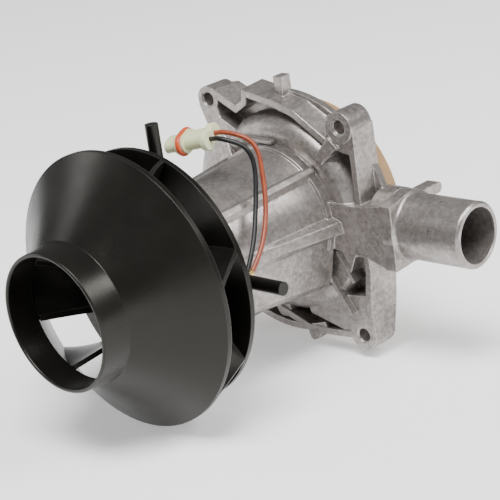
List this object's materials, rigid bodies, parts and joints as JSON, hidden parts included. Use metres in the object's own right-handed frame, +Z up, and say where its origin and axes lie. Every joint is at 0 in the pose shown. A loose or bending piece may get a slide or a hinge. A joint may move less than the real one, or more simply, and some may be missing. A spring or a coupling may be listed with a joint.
{
  "type": "combustion fan",
  "caption": "Combustion-air blower of an air heater: black impeller with conical shroud, cast motor housing with lugs and air stub, moulded rear cover, leads and plug.",
  "frame": {"origin": "the motor axis where it crosses the housing's rear mounting plane", "axes": "+X along the air stub, -Y along the motor axis towards the impeller's inlet, +Z up"},
  "size_m": [0.1419, 0.1463, 0.1094],
  "materials": {
    "black_plastic": "satin black glass-filled nylon",
    "cast_aluminium": "as-cast, bead-blasted",
    "brown_moulding": "matte brown moulded plastic",
    "steel": "ground steel",
    "zinc_steel": "zinc-plated",
    "lamination_steel": "oiled lamination stack",
    "copper": "copper",
    "brass": "machined brass",
    "ferrite": "ground ferrite",
    "carbon": "pressed carbon",
    "phenolic": "brown phenolic",
    "seal_rubber": "black rubber",
    "red_insulation": "red-brown wire insulation",
    "black_insulation": "black wire insulation",
    "natural_nylon": "natural nylon, slightly translucent",
    "red_silicone": "red-orange silicone"
  },
  "bodies": {
    "root": {"front_bearing_outer_ring": "steel", "rear_bearing_outer_ring": "steel", "blower_housing": "cast_aluminium", "pole_ring": "zinc_steel", "field_magnets": "ferrite", "motor_end_cap": "black_plastic", "preload_washer": "steel", "brush_holders": "brass", "brush_spring_top": "steel", "brush_spring_bottom": "steel", "shaft_seal": "seal_rubber", "blower_cover": "brown_moulding", "cover_screws": "zinc_steel", "end_cap_screws": "zinc_steel", "connector_housing": "natural_nylon", "connector_contacts": "brass", "connector_seal": "red_silicone", "motor_terminals": "brass", "lead_red": "red_insulation", "lead_black": "black_insulation"},
    "rotor": {"impeller_shroud": "black_plastic", "impeller_wheel": "black_plastic", "impeller_hub_insert": "brass", "impeller_washer": "zinc_steel", "impeller_nut": "zinc_steel", "motor_shaft": "steel", "armature_core": "lamination_steel", "armature_windings": "copper", "commutator_sleeve": "phenolic", "commutator_bars": "copper", "front_bearing_inner_ring": "steel", "rear_bearing_inner_ring": "steel", "blower_wheel": "cast_aluminium", "blower_wheel_clip": "steel"},
    "front_ball_set": {"front_bearing_balls": "steel", "front_bearing_cage": "brass"},
    "rear_ball_set": {"rear_bearing_balls": "steel", "rear_bearing_cage": "brass"},
    "top_brush": {"brush_top": "carbon"},
    "bottom_brush": {"brush_bottom": "carbon"}
  },
  "joints": [
    {"name": "rotor_spin", "type": "hinge", "parent": "root", "child": "rotor", "pos_m": [0, 0, 0], "axis": [0, 1, 0], "continuous": true},
    {"name": "front_balls_spin", "type": "hinge", "parent": "root", "child": "front_ball_set", "pos_m": [0, 0, 0], "axis": [0, 1, 0], "continuous": true},
    {"name": "rear_balls_spin", "type": "hinge", "parent": "root", "child": "rear_ball_set", "pos_m": [0, 0, 0], "axis": [0, 1, 0], "continuous": true},
    {"name": "top_brush_slide", "type": "slide", "parent": "root", "child": "top_brush", "axis": [0, 0, 1], "range_m": [0, 0.002], "stiffness_N_per_m": 200, "springref_m": -0.004, "deforming": ["brush_spring_top"]},
    {"name": "bottom_brush_slide", "type": "slide", "parent": "root", "child": "bottom_brush", "axis": [0, 0, -1], "range_m": [0, 0.002], "stiffness_N_per_m": 200, "springref_m": -0.004, "deforming": ["brush_spring_bottom"]}
  ],
  "couplings": [
    {"joint": "front_balls_spin", "follows": "rotor_spin", "ratio": 0.35714},
    {"joint": "rear_balls_spin", "follows": "rotor_spin", "ratio": 0.35714}
  ]
}
